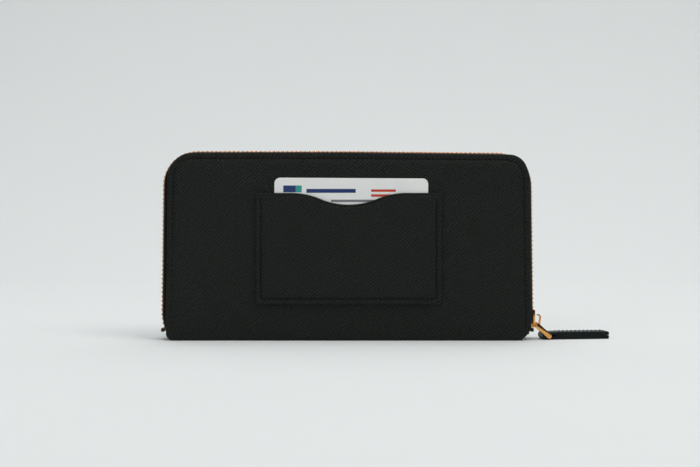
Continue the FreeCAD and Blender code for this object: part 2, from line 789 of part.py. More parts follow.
def coin_teeth():
    """Both rows of the coin pocket's zip, above the tapes."""
    height = D["coin_top"] + D["coin_tape_rise"] + D["tooth_height"] / 2
    reach = D["coin_half_width"].number - 4
    first = FreeCAD.Vector(-reach, 0, height.number)
    last = FreeCAD.Vector(reach, 0, height.number)
    edges = [Part.LineSegment(first, last).toShape()]
    end = D["coin_slider_place"].number + reach
    tooth_row("coin_teeth_front", edges, 0, end, -1, 0)
    tooth_row("coin_teeth_back", edges, 0, end, 1, D["tooth_pitch"].number / 2)


def coin_slider_body():
    """The coin zip's slider: a roof with two side walls over the teeth and a bridge on top."""
    middle = D["coin_slider_place"]
    half_long = D["coin_slider_length"] / 2
    left, right = middle - half_long, middle + half_long
    teeth_low = D["coin_top"] + D["coin_tape_rise"]
    roof = teeth_low + D["tooth_height"] + 0.15
    wide = D["tooth_root"] + 0.15
    wall = D["slider_plate"]
    top = roof + wall
    arch = 2.2
    leg = 0.8
    narrow = D["hook_width"] / 4
    shapes = [
        block("roof", (left, -wide - wall, roof), (right, wide + wall, top)),
        block("side_wall", (left, -wide - wall, teeth_low), (right, -wide, roof)),
        block("side_wall", (left, wide, teeth_low), (right, wide + wall, roof)),
        block("bridge_leg", (left + leg, -narrow, top), (left + leg * 2, narrow, top + arch)),
        block("bridge_leg", (right - leg * 2, -narrow, top), (right - leg, narrow, top + arch)),
        block("bridge_bar", (left + leg, -narrow, top + arch), (right - leg, narrow, top + arch + leg)),
    ]
    return fuse("coin_slider_body", shapes, "coin_slider_body")


def coin_pull():
    """The coin slider's pull: a flat strip with a window, held by its round end bar in the bridge."""
    middle = D["coin_slider_place"]
    roof = D["coin_top"] + D["coin_tape_rise"] + D["tooth_height"] + D["slider_plate"] + 0.15
    low = roof + D["coin_pull_lift"]
    half_wide = D["coin_pull_width"] / 2
    half_strip = D["coin_pull_strip"] / 2
    high = low + half_strip * 2
    strip = block("strip", (middle - D["coin_pull_length"], -half_wide, low), (middle, half_wide, high))
    end_bar = bar("end_bar", middle, -half_wide, half_wide, half_strip)
    bind(end_bar, "Placement.Base.z", low + half_strip)
    whole = doc.addObject("Part::MultiFuse", "whole_strip")
    whole.Shapes = [strip, end_bar]
    half_window = D["coin_window_width"] / 2
    window = block(
        "window",
        (middle - D["coin_window_length"], -half_window, low - half_strip),
        (middle - half_strip, half_window, high + half_strip),
    )
    cut = doc.addObject("Part::Cut", "coin_pull")
    cut.Base = whole
    cut.Tool = window
    return keep(cut, "coin_pull")


def gusset(side, end):
    """A fan-folded gusset: a V of leather, deeper towards the top, between cover and coin pocket."""
    y_sign = half(side)[0]
    x_sign = -1 if end == "left" else 1
    skin = D["gusset_sheet"].number
    play = 0.1
    near = D["coin_room"].number + D["inner_leather"].number + play
    shells = D["leather"] + D["stiffener"] + D["lining"] + D["inner_leather"] * 4
    far = layer_depth(shells).number - play
    middle = (near + far) / 2
    edge = D["slot_half_width"].number
    sections = []
    heights = (D["inner_foot"].number, D["coin_top"].number)
    depths = (D["gusset_foot_depth"].number, D["gusset_top_depth"].number)
    for height, depth in zip(heights, depths):
        corners = [
            (edge, far),
            (edge - depth, middle + skin / 2),
            (edge - depth, middle - skin / 2),
            (edge, near),
            (edge, near + skin),
            (edge - depth + skin * 2, middle),
            (edge, far - skin),
        ]
        points = [FreeCAD.Vector(x * x_sign, y * y_sign, height) for x, y in corners]
        sections.append(Part.makePolygon(points + points[:1]))
    label = f"gusset_{side}_{end}"
    feature = doc.addObject("Part::Feature", label)
    feature.Shape = Part.makeLoft(sections, True, True)
    feature.Placement = FreeCAD.Placement()
    return keep(feature, label)


# ---------------------------------------------------------------- build, check and write


def build():
    """Make every sub-part."""
    for side in ("front", "back"):
        cover(side)
        board(side)
        cover_lining(side)
        for number in range(1, 5):
            card_slot(side, number)
        zip_tape(side)
        coin_panel(side)
        coin_tape(side)
        for end in ("left", "right"):
            gusset(side, end)
    spine()
    spine_lining()
    outer_card_pocket()
    id_card()
    zip_teeth()
    zip_stops()
    slider_body()
    slider_bridge()
    pull_link()
    pull_tab()
    coin_teeth()
    coin_slider_body()
    coin_pull()


def check():
    """Stop if anything in the document failed or any sub-part has no sound shape."""
    doc.recompute()
    for item in doc.Objects:
        if {"Invalid", "Error"} & set(item.State):
            raise ValueError(f"{item.Label} failed: {item.State}")
    for item in NODES:
        if item.Shape.isNull() or not item.Shape.isValid():
            raise ValueError(f"{item.Label} has no sound shape")
        if item.Shape.Volume <= 0:
            raise ValueError(f"{item.Label} has no volume")


def write():
    """Write each sub-part to its own file."""
    for item in NODES:
        item.Shape.exportStep(f"parts/{item.Label}.step")
        box = item.Shape.BoundBox
        spans = ((box.XMin, box.XMax), (box.YMin, box.YMax), (box.ZMin, box.ZMax))
        text = "  ".join(f"{low:8.2f} {high:8.2f}" for low, high in spans)
        print(f"{item.Label:28s}{len(item.Shape.Solids):4d}{item.Shape.Volume:12.1f}  {text}")


build()
check()
write()
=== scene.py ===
import json
import math
import bmesh
import bpy
from mathutils import Matrix, Vector


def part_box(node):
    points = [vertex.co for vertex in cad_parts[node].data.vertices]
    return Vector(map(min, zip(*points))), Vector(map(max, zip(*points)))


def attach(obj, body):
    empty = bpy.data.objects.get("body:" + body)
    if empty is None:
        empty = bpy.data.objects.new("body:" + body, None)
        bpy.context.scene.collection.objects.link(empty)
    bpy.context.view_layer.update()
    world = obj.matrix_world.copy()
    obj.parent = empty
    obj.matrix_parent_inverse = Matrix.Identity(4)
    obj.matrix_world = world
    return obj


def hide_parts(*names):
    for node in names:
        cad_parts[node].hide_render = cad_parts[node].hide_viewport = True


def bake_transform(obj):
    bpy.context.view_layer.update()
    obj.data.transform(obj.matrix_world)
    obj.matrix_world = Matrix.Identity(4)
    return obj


# Looks for the zip around wallet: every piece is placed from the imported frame. Metres.
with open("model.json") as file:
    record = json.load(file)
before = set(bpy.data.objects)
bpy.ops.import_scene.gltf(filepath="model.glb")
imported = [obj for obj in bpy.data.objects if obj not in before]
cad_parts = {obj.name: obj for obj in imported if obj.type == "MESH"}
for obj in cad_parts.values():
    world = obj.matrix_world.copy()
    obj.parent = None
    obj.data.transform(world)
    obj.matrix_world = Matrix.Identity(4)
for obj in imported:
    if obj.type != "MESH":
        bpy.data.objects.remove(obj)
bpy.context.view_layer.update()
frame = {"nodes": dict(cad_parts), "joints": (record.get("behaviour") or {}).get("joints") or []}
MM = 0.001
ROOT = "spine_and_coin_pocket"
SIDES = {"front": -1, "back": 1}

COVER_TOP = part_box("front_cover")[1][2]
COVER_HALF_WIDTH = 102.25 * MM
COVER_LEAN = 1.5 * MM
TOP_FALL = 0.9 * MM
TOP_FALL_REACH = 85 * MM
TOP_CORNER = 14 * MM
FOOT_CORNERS = (4 * MM, 9.5 * MM)
ZIP_CORNER = 18.5 * MM
ZIP_FOOT = 3.5 * MM
ZIP_CURL = {"left": (16 * MM, 2.6 * MM), "right": (13 * MM, 5 * MM)}
ZIP_TOP_BULGE = 0.2 * MM
TOOTH_PITCH = 2.5 * MM
RIM_STITCH = 3.2 * MM
GROOVE_FOOT = 3.5 * MM
GROOVE_FADE = 3 * MM
STITCH_PITCH = 2.9 * MM
SCOOP_HALF_WIDTH = 32 * MM
SCOOP_DEPTH = 6.5 * MM
TAB_TURN = math.radians(8)
TAB_THICKNESS = 4.2


def joint_place(name):
    """Where a hinge's axis passes, in the row frame."""
    return Vector(next(joint["pos_m"] for joint in frame["joints"] if joint["name"] == name))


# ---------------------------------------------------------------- materials


class Nodes:
    """Short calls for building one node material."""

    def __init__(self, name, colour, roughness, metallic=0.0):
        self.material = bpy.data.materials.new(name)
        self.material.use_nodes = True
        self.tree = self.material.node_tree
        self.shader = self.tree.nodes["Principled BSDF"]
        self.shader.inputs["Base Color"].default_value = (*colour, 1)
        self.shader.inputs["Roughness"].default_value = roughness
        self.shader.inputs["Metallic"].default_value = metallic
        self.place = self.new("ShaderNodeTexCoord").outputs["Object"]

    def new(self, kind, **values):
        """A node with some of its inputs set by name or index."""
        node = self.tree.nodes.new(kind)
        for key, value in values.items():
            node.inputs[key.replace("_", " ")].default_value = value
        return node

    def link(self, output, target):
        """Join an output to an input."""
        self.tree.links.new(output, target)

    def math(self, operation, first, second=0.0):
        """A maths node on sockets or numbers."""
        node = self.tree.nodes.new("ShaderNodeMath")
        node.operation = operation
        for index, value in enumerate((first, second)):
            if isinstance(value, (int, float)):
                node.inputs[index].default_value = value
            else:
                self.link(value, node.inputs[index])
        return node.outputs[0]

    def noise(self, size, detail=3.0):
        """Noise whose blobs are about the given size in metres."""
        node = self.new("ShaderNodeTexNoise", Scale=1 / size, Detail=detail)
        self.link(self.place, node.inputs["Vector"])
        return node.outputs["Fac"]

    def axes(self):
        """The place split into its three parts."""
        node = self.new("ShaderNodeSeparateXYZ")
        self.link(self.place, node.inputs[0])
        return node.outputs

    def ramp(self, value, low, high, low_colour, high_colour):
        """A colour between two, as a value goes from low to high."""
        node = self.tree.nodes.new("ShaderNodeValToRGB")
        node.color_ramp.elements[0].position = low
        node.color_ramp.elements[0].color = (*low_colour, 1)
        node.color_ramp.elements[1].position = high
        node.color_ramp.elements[1].color = (*high_colour, 1)
        self.link(value, node.inputs[0])
        return node.outputs[0]

    def colour(self, socket):
        """Set the base colour from a socket."""
        self.link(socket, self.shader.inputs["Base Color"])

    def roughness(self, socket, low, high):
        """Vary the roughness between two values."""
        node = self.new("ShaderNodeMapRange", To_Min=low, To_Max=high)
        self.link(socket, node.inputs["Value"])
        self.link(node.outputs[0], self.shader.inputs["Roughness"])

    def bump(self, height, depth, strength=1.0):
        """Raise the surface by depth metres where the height is 1."""
        node = self.new("ShaderNodeBump", Strength=strength, Distance=depth)
        self.link(height, node.inputs["Height"])
        self.link(node.outputs[0], self.shader.inputs["Normal"])


def hatch(nodes, pitch, slope, waver):
    """Slanted ridges, 0 to 1, on a face of any direction."""
    x, y, z = nodes.axes()
    run = nodes.math("ADD", nodes.math("MULTIPLY", x, slope), nodes.math("ADD", z, y))
    length = math.hypot(slope, 1)
    turn = nodes.math("MULTIPLY", run, 2 * math.pi / (pitch * length))
    wave = nodes.math("SINE", nodes.math("ADD", turn, nodes.math("MULTIPLY", waver, 5.0)))
    return nodes.math("ADD", nodes.math("MULTIPLY", wave, 0.5), 0.5)


def saffiano():
    """Cross-grain leather: patches of fine slanted ridges of either slope over a soft grain."""
    nodes = Nodes("saffiano", (0.01, 0.0115, 0.01), 0.5)
    nodes.shader.inputs["Specular IOR Level"].default_value = 0.16
    waver = nodes.noise(2.2 * MM, 2.0)
    first = hatch(nodes, 1.45 * MM, 0.75, waver)
    second = hatch(nodes, 1.55 * MM, -0.9, waver)
    patch = nodes.math("MULTIPLY", nodes.math("SUBTRACT", nodes.noise(9 * MM, 3.0), 0.36), 3.5)
    patch = nodes.math("MINIMUM", nodes.math("MAXIMUM", patch, 0.0), 1.0)
    rest = nodes.math("SUBTRACT", 1.0, patch)
    cross = nodes.math("ADD", nodes.math("MULTIPLY", first, patch), nodes.math("MULTIPLY", second, rest))
    grain = nodes.noise(0.9 * MM, 3.0)
    height = nodes.math("ADD", nodes.math("MULTIPLY", cross, 0.45), nodes.math("MULTIPLY", grain, 0.75))
    nodes.colour(nodes.ramp(height, 0.34, 0.86, (0.0012, 0.002, 0.0015), (0.02, 0.0245, 0.0205)))
    nodes.roughness(grain, 0.4, 0.58)
    nodes.bump(height, 0.3 * MM, 1.0)
    return nodes.material


def smooth_leather(name, dark, light, grain_size=0.6 * MM, rough=(0.42, 0.6)):
    """Plain leather with a fine pebbled grain and slight colour changes."""
    nodes = Nodes(name, dark, rough[1])
    nodes.shader.inputs["Specular IOR Level"].default_value = 0.2
    cells = nodes.new("ShaderNodeTexVoronoi", Scale=1 / grain_size)
    nodes.link(nodes.place, cells.inputs["Vector"])
    cloud = nodes.noise(14 * MM)
    nodes.colour(nodes.ramp(cloud, 0.3, 0.7, dark, light))
    nodes.roughness(cloud, *rough)
    nodes.bump(cells.outputs["Distance"], 0.07 * MM, 0.7)
    return nodes.material


def edge_paint():
    """The painted cut edge of the covers, a warm brown black."""
    nodes = Nodes("edge_paint", (0.008, 0.006, 0.005), 0.45)
    nodes.shader.inputs["Specular IOR Level"].default_value = 0.2
    streak = nodes.noise(1.5 * MM)
    nodes.colour(nodes.ramp(streak, 0.35, 0.7, (0.004, 0.0035, 0.003), (0.018, 0.011, 0.007)))
    nodes.bump(streak, 0.04 * MM, 0.6)
    return nodes.material


def woven_tape():
    """Zip tape: a fine twill."""
    nodes = Nodes("woven_tape", (0.006, 0.006, 0.006), 0.85)
    nodes.shader.inputs["Specular IOR Level"].default_value = 0.15
    waver = nodes.noise(3 * MM)
    first = hatch(nodes, 0.42 * MM, 1.0, nodes.math("MULTIPLY", waver, 0.1))
    second = hatch(nodes, 0.5 * MM, -0.4, nodes.math("MULTIPLY", waver, 0.1))
    weave = nodes.math("MULTIPLY", first, second)
    nodes.colour(nodes.ramp(weave, 0.1, 0.9, (0.002, 0.002, 0.0022), (0.012, 0.012, 0.012)))
    nodes.bump(weave, 0.1 * MM, 0.8)
    return nodes.material


def metal(name, colour, worn, rough):
    """Plated metal with faint brushing and small dull patches."""
    nodes = Nodes(name, colour, rough[0], 1.0)
    cloud = nodes.noise(1.8 * MM, 4.0)
    nodes.colour(nodes.ramp(cloud, 0.35, 0.75, colour, worn))
    nodes.roughness(cloud, *rough)
    nodes.bump(nodes.noise(0.3 * MM), 0.006 * MM, 0.4)
    return nodes.material


def thread(name, dark, light):
    """Twisted sewing thread."""
    nodes = Nodes(name, dark, 0.6)
    nodes.shader.inputs["Specular IOR Level"].default_value = 0.15
    twist = hatch(nodes, 0.33 * MM, 1.6, 0.0)
    nodes.colour(nodes.ramp(twist, 0.2, 0.9, dark, light))
    nodes.bump(twist, 0.05 * MM, 0.7)
    return nodes.material


def board_fibre():
    """Grey-brown board with short fibres."""
    nodes = Nodes("board_fibre", (0.3, 0.25, 0.19), 0.9)
    fibre = nodes.noise(0.7 * MM, 5.0)
    nodes.colour(nodes.ramp(fibre, 0.3, 0.7, (0.22, 0.18, 0.13), (0.38, 0.32, 0.25)))
    nodes.bump(fibre, 0.05 * MM, 0.5)
    return nodes.material


def card_print():
    """Pale laminated card with plain colour bars in its upper part."""
    nodes = Nodes("card_print", (0.8, 0.81, 0.78), 0.32)
    low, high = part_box("id_card")
    x, _, z = nodes.axes()
    width, height = high[0] - low[0], high[2] - low[2]
    across = nodes.math("MULTIPLY", nodes.math("SUBTRACT", x, low[0]), 1 / width)
    down = nodes.math("MULTIPLY", nodes.math("SUBTRACT", high[2], z), 1 / height)
    cloud = nodes.noise(20 * MM)
    colour = nodes.ramp(cloud, 0.3, 0.7, (0.86, 0.88, 0.87), (0.93, 0.93, 0.9))
    navy, teal = (0.015, 0.04, 0.16), (0.04, 0.35, 0.33)
    red, grey = (0.6, 0.06, 0.03), (0.2, 0.21, 0.22)
    bars = [
        (0.06, 0.14, 0.08, 0.15, navy),
        (0.14, 0.18, 0.08, 0.15, teal),
        (0.21, 0.53, 0.115, 0.155, navy),
        (0.63, 0.79, 0.12, 0.145, red),
        (0.63, 0.79, 0.17, 0.195, red),
        (0.37, 0.67, 0.225, 0.25, grey),
    ]
    for left, right, top, bottom, paint in bars:
        inside = 1.0
        for value, edge, sign in ((across, left, 1), (across, right, -1), (down, top, 1), (down, bottom, -1)):
            signed = nodes.math("MULTIPLY", nodes.math("SUBTRACT", value, edge), sign)
            inside = nodes.math("MULTIPLY", nodes.math("GREATER_THAN", signed, 0.0), inside)
        mix = nodes.tree.nodes.new("ShaderNodeMix")
        mix.data_type = "RGBA"
        nodes.link(inside, mix.inputs["Factor"])
        first, second = [socket for socket in mix.inputs if socket.type == "RGBA"]
        nodes.link(colour, first)
        second.default_value = (*paint, 1)
        colour = next(socket for socket in mix.outputs if socket.type == "RGBA")
    nodes.colour(colour)
    nodes.bump(nodes.noise(0.5 * MM), 0.01 * MM, 0.4)
    return nodes.material


LEATHER = saffiano()
EDGE = edge_paint()
LINING = smooth_leather("lining_leather", (0.009, 0.0095, 0.0095), (0.016, 0.0165, 0.017))
INNER = smooth_leather("inner_leather", (0.01, 0.0105, 0.0105), (0.02, 0.021, 0.021), 0.8 * MM)
TAB = smooth_leather("tab_leather", (0.004, 0.0065, 0.006), (0.007, 0.011, 0.0105), 0.5 * MM, (0.36, 0.5))
TAPE = woven_tape()
GOLD = metal("polished_gold", (0.9, 0.46, 0.15), (0.72, 0.3, 0.08), (0.08, 0.2))
ZIP_METAL = metal("zip_metal", (0.72, 0.36, 0.14), (0.4, 0.17, 0.06), (0.16, 0.3))
STOP_METAL = metal("stop_metal", (0.1, 0.06, 0.03), (0.04, 0.025, 0.012), (0.35, 0.5))
THREAD = thread("thread", (0.0015, 0.002, 0.0018), (0.005, 0.006, 0.0055))
TAB_THREAD = thread("tab_thread", (0.03, 0.04, 0.04), (0.09, 0.11, 0.11))
BOARD = board_fibre()
CARD = card_print()


# ---------------------------------------------------------------- mesh helpers


def finish_mesh(name, mesh, material, body, nodes=(), smooth=True):
    """Turn a bmesh into a piece with its material, attached to its body when that is a single name, and hide
    the CAD nodes it stands for.
    """
    bmesh.ops.recalc_face_normals(mesh, faces=mesh.faces)
    data = bpy.data.meshes.new(name)
    mesh.to_mesh(data)
    mesh.free()
    data.materials.append(material)
    piece = bpy.data.objects.new(name, data)
    bpy.context.scene.collection.objects.link(piece)
    if smooth:
        data.shade_smooth()
        data.set_sharp_from_angle(angle=math.radians(50))
    if isinstance(body, str):
        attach(piece, body)
    else:
        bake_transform(piece)
    if nodes:
        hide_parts(*nodes)
    return piece


def bridge_rings(mesh, rings, closed=True, cap_last=False):
    """Faces between rings of points that all have the same count."""
    rows = [[mesh.verts.new(point) for point in ring] for ring in rings]
    count = len(rows[0])
    for lower, upper in zip(rows, rows[1:]):
        for index in range(count if closed else count - 1):
            after = (index + 1) % count
            mesh.faces.new((lower[index], lower[after], upper[after], upper[index]))
    if cap_last:
        mesh.faces.new(rows[-1])
    return rows


def soften(name, node, material, body, bevel=0.2 * MM, segments=2):
    """A CAD node's shape with its hard edges rounded, standing for that node."""
    mesh = bmesh.new()
    mesh.from_mesh(frame["nodes"][node].data)
    bmesh.ops.remove_doubles(mesh, verts=mesh.verts, dist=1e-7)
    bmesh.ops.dissolve_limit(mesh, angle_limit=math.radians(2), verts=mesh.verts, edges=mesh.edges)
    sharp = [edge for edge in mesh.edges if edge.is_manifold and edge.calc_face_angle() > math.radians(40)]
    bmesh.ops.bevel(
        mesh, geom=sharp, offset=bevel, segments=segments, profile=0.5, affect="EDGES", clamp_overlap=True
    )
    return finish_mesh(name, mesh, material, body, [node])


def cover_corners(offsets, foot=0.0):
    """Corners of the covers' leaned outline, moved out by (left, right, top)."""
    left, right, top = offsets
    x_left, x_right = -COVER_HALF_WIDTH - left, COVER_HALF_WIDTH + right
    crown = COVER_TOP + top
    return [(x_left, foot), (x_left + COVER_LEAN, crown), (x_right - COVER_LEAN, crown), (x_right, foot)]


def settle(point):
    """The upper edge sinks a little from the middle towards the right end."""
    share = min(max(point.x / TOP_FALL_REACH, 0), 1)
    return Vector((point.x, point.y - TOP_FALL * share * point.y / COVER_TOP))


def arc_points(before, corner, after, radius, count):
    """Points of the round between two straight runs that meet at a corner."""
    corner = Vector(corner)
    first = (Vector(before) - corner).normalized()
    last = (Vector(after) - corner).normalized()
    half = first.angle(last) / 2
    centre = corner + (first + last).normalized() * (radius / math.sin(half))
    begin = corner + first * (radius / math.tan(half)) - centre
    finish = corner + last * (radius / math.tan(half)) - centre
    turn = begin.angle(finish)
    sign = 1 if begin.cross(finish) > 0 else -1
    angles = [sign * turn * index / count for index in range(count + 1)]
    return [centre + Matrix.Rotation(angle, 2) @ begin for angle in angles]


def run_points(first, last, count):
    """Evenly spaced points strictly between two points."""
    return [Vector(first).lerp(Vector(last), index / count) for index in range(1, count)]


def arch(offsets, radius, foot=0.0, legs=40, round_steps=18, top_steps=70):
    """Points (x, z) from the left foot over the top to the right foot, evenly counted."""
    a, b, c, d = [Vector(point) for point in cover_corners(offsets, foot)]
    left = arc_points(a, b, c, radius, round_steps)
    right = arc_points(b, c, d, radius, round_steps)
    points = [a] + run_points(a, left[0], legs) + left
    points += run_points(left[-1], right[0], top_steps) + right
    points += run_points(right[-1], d, legs) + [d]
    return [settle(point) for point in points]


def cover_ring(inset, y):
    """A closed ring of the cover's outline, moved in, at a place along Y."""
    a, b, c, d = cover_corners((-inset, -inset, -inset), inset)
    least = 0.6 * MM
    radii = (max(FOOT_CORNERS[0] - inset, least), max(TOP_CORNER - inset, least))
    radii += (max(TOP_CORNER - inset, least), max(FOOT_CORNERS[1] - inset, least))
    corners = [(d, a, b), (a, b, c), (b, c, d), (c, d, a)]
    arcs = [arc_points(*places, radius, 14) for places, radius in zip(corners, radii)]
    top_run = run_points(arcs[1][-1], arcs[2][0], 16)
    points = [settle(point) for point in arcs[0] + arcs[1] + top_run + arcs[2] + arcs[3]]
    return [Vector((point.x, y, point.y)) for point in points]


def lengths_along(points):
    """Distance from the first point to each point."""
    total = [0.0]
    for first, last in zip(points, points[1:]):
        total.append(total[-1] + (last - first).length)
    return total


def walk(points, pitch, start=0.0, stop=0.0):
    """Places and directions at an even pitch along a line of points."""
    total = lengths_along(points)
    count = int((total[-1] - start - stop) / pitch)
    index = 0
    for number in range(count + 1):
        distance = start + number * pitch
        while index < len(total) - 2 and total[index + 1] < distance:
            index += 1
        share = (distance - total[index]) / max(total[index + 1] - total[index], 1e-9)
        step = points[index + 1] - points[index]
        yield points[index] + step * share, step.normalized()


def add_stitch(mesh, place, direction, outward, length, radius):
    """One thread stitch: a short rounded bar that dips into the leather at both ends."""
    side = direction.cross(outward)
    rings = []
    sections = [(-0.5, 0.35, -0.6), (-0.36, 0.9, 0.1), (0, 1, 0.3), (0.36, 0.9, 0.1), (0.5, 0.35, -0.6)]
    for along, size, lift in sections:
        centre = place + direction * (along * length) + outward * (lift * radius)
        ring = []
        for step in range(6):
            angle = step * math.pi / 3
            offset = side * math.cos(angle) + outward * math.sin(angle)
            ring.append(centre + offset * (radius * size))
        rings.append(ring)
    rows = bridge_rings(mesh, rings)
    mesh.faces.new(rows[0])
    mesh.faces.new(rows[-1])


def stitch_line(name, lines, outward, body, pitch=STITCH_PITCH, radius=0.27 * MM, material=None):
    """Stitches along one or more lines of points."""
    mesh = bmesh.new()
    for points in lines:
        for place, direction in walk(points, pitch, pitch / 2, pitch / 4):
            slant = (direction + direction.cross(outward) * 0.08).normalized()
            add_stitch(mesh, place, slant, outward, pitch * 0.78, radius)
    return finish_mesh(name, mesh, material or THREAD, body)


# ---------------------------------------------------------------- covers


def fade_groove(ring, face, sign):
    """Bring a pressed ring back level with the face where it nears the foot."""
    for point in ring:
        share = min(max((point.z - GROOVE_FOOT) / GROOVE_FADE, 0), 1)
        point.y = sign * (face + (abs(point.y) - face) * share)
    return ring


def cover(side):
    """Outer leather: rounded rim, a pressed line under the stitches and a slightly full face."""
    sign = SIDES[side]
    low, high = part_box(f"{side}_cover")
    face = max(abs(low[1]), abs(high[1]))
    back = min(abs(low[1]), abs(high[1]))
    half = (face - back) / 2
    full = 0.05 * MM
    profile = [(0.5, back), (0.12, back + 0.12 * MM), (0.0, back + half), (0.12, face - 0.2 * MM)]
    profile += [(0.55, face - 0.02 * MM), (1.6, face + full), (2.6, face + full)]
    profile += [(3.0, face - 0.35 * MM), (3.4, face - 0.35 * MM), (3.9, face + full)]
    profile += [(7, face + full), (14, face + full)]
    mesh = bmesh.new()
    rings = []
    for inset, depth in profile:
        ring = cover_ring(inset * MM, depth * sign)
        rings.append(fade_groove(ring, face + full, sign) if inset > 2 else ring)
    rows = bridge_rings(mesh, rings, cap_last=True)
    mesh.faces.new(rows[0])
    piece = finish_mesh(f"{side}_cover_leather", mesh, LEATHER, f"{side}_half", [f"{side}_cover"])
    piece.data.materials.append(EDGE)
    for polygon in piece.data.polygons:
        middle = abs(polygon.center.y)
        if back + 0.1 * MM < middle < face - 0.15 * MM:
            polygon.material_index = 1
    depth = (face - 0.32 * MM) * sign
    line = [Vector((p.x, depth, p.y)) for p in arch((-RIM_STITCH,) * 3, TOP_CORNER - RIM_STITCH, 6 * MM)]
    outward = Vector((0, sign, 0))
    stitch_line(f"{side}_rim_stitches", [line], outward, f"{side}_half")


def inner_sheets(side):
    """Boards, linings and card slots, with their edges rounded."""
    sign = SIDES[side]
    body = f"{side}_half"
    soften(f"{side}_board", f"{side}_stiffener", BOARD, body, 0.1 * MM)
    soften(f"{side}_lining_leather", f"{side}_lining", LINING, body, 0.15 * MM)
    for number in range(1, 5):
        node = f"card_slot_{side}_{number}"
        soften(f"{node}_leather", node, INNER, body, 0.2 * MM, 3)
        low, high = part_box(node)
        y = (high[1] if sign < 0 else low[1]) - sign * 0.02 * MM
        top = high[2] - 1.6 * MM
        step = 10 * MM if number < 4 else high[2] - low[2] - 4 * MM
        edge_line = [Vector((low[0] + 3 * MM, y, top)), Vector((high[0] - 3 * MM, y, top))]
        divider = [Vector((0, y, high[2] - step)), Vector((0, y, top))]
        outward = Vector((0, -sign, 0))
        stitch_line(f"{node}_stitches", [edge_line, divider], outward, body, radius=0.2 * MM)


# ---------------------------------------------------------------- outer pocket


def scoop_height(x, top):
    """The pocket's upper edge: two rounds down and one up, all of one radius."""
    reach = min(abs(x), SCOOP_HALF_WIDTH)
    radius = (SCOOP_HALF_WIDTH**2 + SCOOP_DEPTH**2) / (4 * SCOOP_DEPTH)
    if reach > SCOOP_HALF_WIDTH / 2:
        away = SCOOP_HALF_WIDTH - reach
        return top - radius + math.sqrt(radius**2 - away**2)
    return top - SCOOP_DEPTH + radius - math.sqrt(radius**2 - reach**2)


def pocket_ring(inset, depth_sides, depth_top):
    """A ring of the pocket's outline, moved in, with its own depth along the open upper edge."""
    low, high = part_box("outer_card_pocket")
    left, right, foot, top = low[0] + inset, high[0] - inset, low[2] + inset, high[2] - inset
    radius = max(1.4 * MM - inset, 0.3 * MM)
    upper = [(left + (right - left) * index / 90) for index in range(91)]
    ring = [Vector((x, -depth_top, scoop_height(x, top))) for x in upper]
    ring += [Vector((right, -depth_sides, p)) for p in (top - 2 * MM, (top + foot) / 2)]
    turn = arc_points((right, top), (right, foot), (left, foot), radius, 6)
    turn += run_points((right - radius, foot), (left + radius, foot), 20)
    turn += arc_points((right, foot), (left, foot), (left, top), radius, 6)
    ring += [Vector((point[0], -depth_sides, point[1])) for point in turn]
    ring += [Vector((left, -depth_sides, p)) for p in ((top + foot) / 2, top - 2 * MM)]
    return ring


def outer_pocket():
    """The pocket panel: open along its scooped upper edge, turned and stitched on the other sides."""
    low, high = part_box("outer_card_pocket")
    back, face = -high[1], -low[1]
    sheet = 1.0 * MM
    rings = [
        (0.0, back, face - sheet),
        (0.0, face - 0.45 * MM, face - 0.5 * MM),
        (0.15, face - 0.12 * MM, face - 0.15 * MM),
        (0.55, face, face),
        (1.0, face + 0.03 * MM, face),
        (1.25, face + 0.03 * MM, face - 0.3 * MM),
        (1.5, face + 0.03 * MM, face),
        (2.6, face, face + 0.03 * MM),
        (3.0, face - 0.32 * MM, face + 0.03 * MM),
        (3.4, face, face + 0.03 * MM),
        (7.0, face + 0.05 * MM, face + 0.05 * MM),
    ]
    mesh = bmesh.new()
    bridge_rings(mesh, [pocket_ring(inset * MM, *depths) for inset, *depths in rings], cap_last=True)
    finish_mesh("outer_pocket_leather", mesh, LEATHER, "front_half", ["outer_card_pocket"])
    inset = 3 * MM
    left, right, foot, top = low[0] + inset, high[0] - inset, low[2] + inset, high[2] - 1.5 * MM
    corner = 1.2 * MM
    line = [Vector((left, top)), Vector((left, foot + corner))]
    line += arc_points((left, top), (left, foot), (right, foot), corner, 5)
    line += arc_points((left, foot), (right, foot), (right, top), corner, 5)
    line.append(Vector((right, top)))
    points = [Vector((p[0], -face, p[1])) for p in line]
    stitch_line("outer_pocket_stitches", [points], Vector((0, -1, 0)), "front_half", 2.6 * MM)


def card():
    """The plastic card with its edges slightly rounded."""
    soften("plastic_card", "id_card", CARD, "card", 0.12 * MM, 3)


# ---------------------------------------------------------------- zip


def zip_line(share):
    """A line between the cover's outline (share 0) and the zip's middle (share 1)."""
    stop_low, stop_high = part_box("zip_stops")
    left = -stop_low[0] - COVER_HALF_WIDTH - 1.0 * MM
    right = stop_high[0] - COVER_HALF_WIDTH - 1.0 * MM
    cover_line = arch((0, 0, 0), TOP_CORNER, ZIP_FOOT)
    middle = arch((left, right, ZIP_TOP_BULGE), ZIP_CORNER, ZIP_FOOT)
    points = []
    for near, far in zip(cover_line, middle):
        point = near.lerp(far, share)
        height, depth = ZIP_CURL["left" if point.x < 0 else "right"]
        if point.y < height:
            curl = ((height - point.y) / (height - ZIP_FOOT)) ** 2
            point.x -= math.copysign((0.4 + 0.6 * share) * curl * depth, point.x)
        points.append(point)
    return points


def flex(side):
    """Body list of the spine, a cover and two places near the ground."""
    return (ROOT, f"{side}_half", (0, 0, 1 * MM), (0, 0, 13 * MM))


